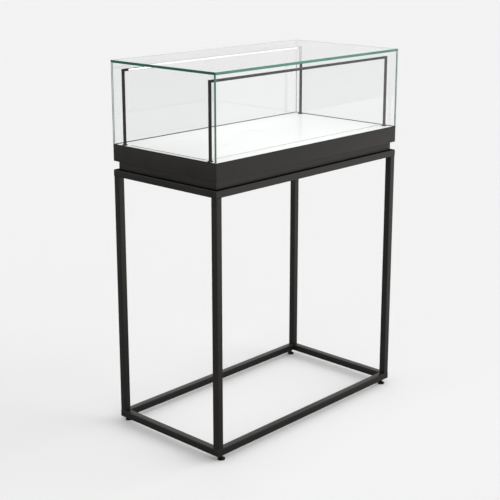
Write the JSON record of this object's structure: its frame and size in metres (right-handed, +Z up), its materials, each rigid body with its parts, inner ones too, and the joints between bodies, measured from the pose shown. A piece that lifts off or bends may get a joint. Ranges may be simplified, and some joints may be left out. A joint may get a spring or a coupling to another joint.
{
  "type": "pedestal display case",
  "caption": "Glass-hooded display case with light frames over a white deck, on an open square-tube steel pedestal with levelling feet.",
  "frame": {"origin": "on the floor, under the middle of the case", "axes": "+X along the long side, to the right for someone in front of the case; +Y to the back, where the low-voltage inlet is; +Z up"},
  "size_m": [0.96, 0.501, 1.322],
  "materials": {
    "stand_powder_coat": "satin black powder coat",
    "plinth_powder_coat": "satin black powder coat",
    "tray_powder_coat": "satin black powder coat",
    "black_oxide": "black oxide",
    "foot_plastic": "moulded black nylon",
    "deck_white": "white laminate",
    "panel_white": "smooth white acrylic",
    "seal": "black sealing strip",
    "glass": "clear float glass with ground edges",
    "light_anodised": "satin dark bronze anodising",
    "light_corner": "moulded black nylon",
    "diffuser": "opal, lit from behind",
    "led_strip": "white circuit strip with chips",
    "driver_plastic": "moulded black plastic"
  },
  "bodies": {
    "case": {"base_rail_front": "stand_powder_coat", "top_rail_front": "stand_powder_coat", "base_rail_back": "stand_powder_coat", "top_rail_back": "stand_powder_coat", "base_rail_left": "stand_powder_coat", "top_rail_left": "stand_powder_coat", "base_rail_right": "stand_powder_coat", "top_rail_right": "stand_powder_coat", "leg_front_left": "stand_powder_coat", "foot_insert_front_left": "black_oxide", "plinth_bolt_front_left": "black_oxide", "leg_front_right": "stand_powder_coat", "foot_insert_front_right": "black_oxide", "plinth_bolt_front_right": "black_oxide", "leg_back_left": "stand_powder_coat", "foot_insert_back_left": "black_oxide", "plinth_bolt_back_left": "black_oxide", "leg_back_right": "stand_powder_coat", "foot_insert_back_right": "black_oxide", "plinth_bolt_back_right": "black_oxide", "plinth_ring": "plinth_powder_coat", "plinth_cover": "plinth_powder_coat", "tray_shell": "tray_powder_coat", "deck_ledge_front": "tray_powder_coat", "deck_ledge_back": "tray_powder_coat", "deck_board": "deck_white", "display_panel": "panel_white", "hood_seal": "seal", "light_post_front_left": "light_anodised", "light_corner_front_left": "light_corner", "light_post_front_right": "light_anodised", "light_corner_front_right": "light_corner", "light_post_back_left": "light_anodised", "light_corner_back_left": "light_corner", "light_post_back_right": "light_anodised", "light_corner_back_right": "light_corner", "light_bar_front": "light_anodised", "light_diffuser_front": "diffuser", "led_strip_front": "led_strip", "light_bar_back": "light_anodised", "light_diffuser_back": "diffuser", "led_strip_back": "led_strip", "led_driver": "driver_plastic", "power_inlet": "driver_plastic"},
    "hood": {"glass_front": "glass", "glass_back": "glass", "glass_left": "glass", "glass_right": "glass", "glass_top": "glass"},
    "foot_front_left": {"foot_stud_front_left": "black_oxide", "foot_pad_front_left": "foot_plastic"},
    "foot_front_right": {"foot_stud_front_right": "black_oxide", "foot_pad_front_right": "foot_plastic"},
    "foot_back_left": {"foot_stud_back_left": "black_oxide", "foot_pad_back_left": "foot_plastic"},
    "foot_back_right": {"foot_stud_back_right": "black_oxide", "foot_pad_back_right": "foot_plastic"}
  },
  "joints": [
    {"name": "hood_lift", "type": "slide", "parent": "case", "child": "hood", "axis": [0, 0, 1], "range_m": [0, 0.32]},
    {"name": "foot_front_left_level", "type": "slide", "parent": "case", "child": "foot_front_left", "axis": [0, 0, -1], "range_m": [-0.006, 0.008]},
    {"name": "foot_front_right_level", "type": "slide", "parent": "case", "child": "foot_front_right", "axis": [0, 0, -1], "range_m": [-0.006, 0.008]},
    {"name": "foot_back_left_level", "type": "slide", "parent": "case", "child": "foot_back_left", "axis": [0, 0, -1], "range_m": [-0.006, 0.008]},
    {"name": "foot_back_right_level", "type": "slide", "parent": "case", "child": "foot_back_right", "axis": [0, 0, -1], "range_m": [-0.006, 0.008]}
  ]
}
